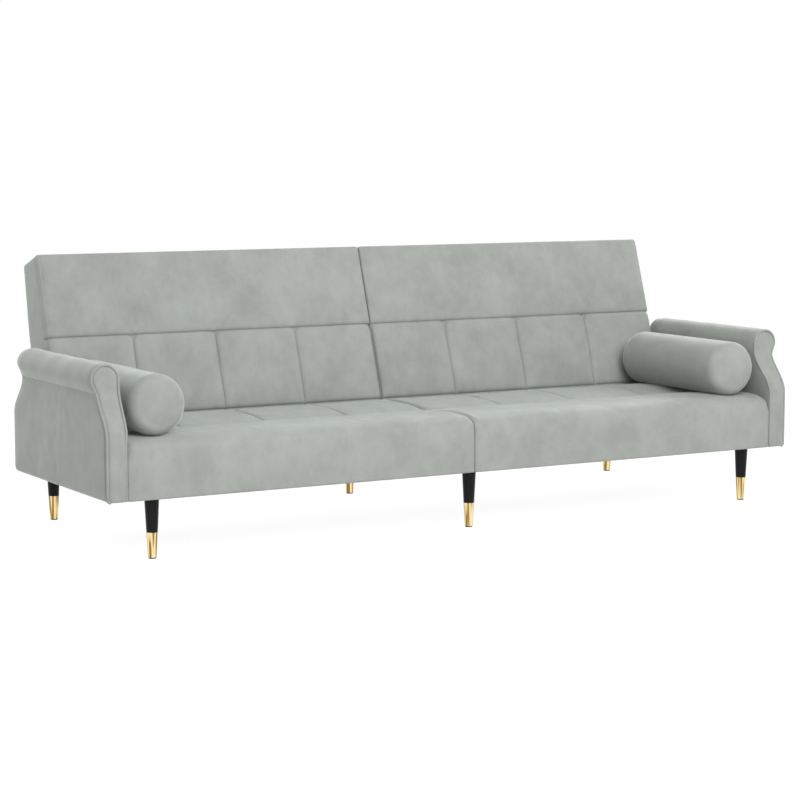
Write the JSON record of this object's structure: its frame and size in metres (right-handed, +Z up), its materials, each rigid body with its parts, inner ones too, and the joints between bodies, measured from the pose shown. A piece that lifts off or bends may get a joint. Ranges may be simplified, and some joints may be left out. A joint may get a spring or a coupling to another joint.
{
  "type": "sofa bed",
  "caption": "Upholstered sofa bed on tapered legs, with rolled arms, a split quilted backrest that folds down flat on ratchet hinges, and loose bolsters.",
  "frame": {"origin": "on the floor, under the middle of the sofa's outline", "axes": "+X to the viewer's right along the sofa, +Y to the back, +Z up"},
  "size_m": [2.227, 0.775, 0.7572],
  "materials": {
    "velvet": "soft short-pile velvet",
    "timber": "sawn softwood",
    "plywood": "plywood",
    "foam": "cut foam",
    "lining": "woven polypropylene",
    "black_lacquer": "satin",
    "gold_brass": "polished",
    "glide_plastic": "matte",
    "zinc_steel": "satin"
  },
  "bodies": {
    "base": {"front_rail": "timber", "rear_rail": "timber", "rear_rail_cover": "velvet", "side_runner_left": "timber", "side_runner_right": "timber", "middle_runners": "timber", "seat_side_rails": "timber", "seat_cross_rails": "timber", "seat_webbing": "lining", "seat_foam_left": "foam", "seat_foam_right": "foam", "seat_cushion_left": "velvet", "seat_cushion_right": "velvet", "dust_cover": "lining", "leg_front_left": "black_lacquer", "leg_front_middle": "black_lacquer", "leg_front_right": "black_lacquer", "leg_rear_left": "black_lacquer", "leg_rear_middle": "black_lacquer", "leg_rear_right": "black_lacquer", "leg_ferrules": "gold_brass", "leg_glides": "glide_plastic", "leg_plates": "zinc_steel", "leg_bolts": "zinc_steel", "plate_screws": "zinc_steel", "arm_core_left": "plywood", "arm_core_right": "plywood", "arm_pad_left": "velvet", "arm_pad_right": "velvet", "arm_roll_left": "velvet", "arm_roll_right": "velvet", "arm_facing_left": "velvet", "arm_facing_right": "velvet", "arm_bolts": "zinc_steel", "hinge_brackets": "zinc_steel", "hinge_pins": "zinc_steel", "ratchet_discs": "zinc_steel", "bracket_screws": "zinc_steel"},
    "back_left": {"back_stiles_left": "plywood", "back_rails_left": "timber", "back_webbing_left": "lining", "back_lip_board_left": "plywood", "back_foam_left": "foam", "back_cushion_left": "velvet", "back_cover_left": "velvet", "hinge_arms_left": "zinc_steel", "arm_screws_left": "zinc_steel"},
    "back_right": {"back_stiles_right": "plywood", "back_rails_right": "timber", "back_webbing_right": "lining", "back_lip_board_right": "plywood", "back_foam_right": "foam", "back_cushion_right": "velvet", "back_cover_right": "velvet", "hinge_arms_right": "zinc_steel", "arm_screws_right": "zinc_steel"},
    "pawls_left": {"pawls_left": "zinc_steel"},
    "pawls_right": {"pawls_right": "zinc_steel"},
    "bolster_left": {"bolster_left": "velvet"},
    "bolster_right": {"bolster_right": "velvet"}
  },
  "joints": [
    {"name": "back_left_recline", "type": "hinge", "parent": "base", "child": "back_left", "pos_m": [-0.5, 0.19109, 0.2325], "axis": [-1, 0, 0], "range_deg": [-4, 71.5]},
    {"name": "back_right_recline", "type": "hinge", "parent": "base", "child": "back_right", "pos_m": [0.5, 0.19109, 0.2325], "axis": [-1, 0, 0], "range_deg": [-4, 71.5]},
    {"name": "pawl_left_rock", "type": "hinge", "parent": "back_left", "child": "pawls_left", "pos_m": [-0.5, 0.16703, 0.21102], "axis": [1, 0, 0], "range_deg": [0, 10]},
    {"name": "pawl_right_rock", "type": "hinge", "parent": "back_right", "child": "pawls_right", "pos_m": [0.5, 0.16703, 0.21102], "axis": [1, 0, 0], "range_deg": [0, 10]},
    {"name": "bolster_left_lift", "type": "slide", "parent": "base", "child": "bolster_left", "axis": [0, 0, 1], "range_m": [0, 0.45]},
    {"name": "bolster_right_lift", "type": "slide", "parent": "base", "child": "bolster_right", "axis": [0, 0, 1], "range_m": [0, 0.45]}
  ]
}
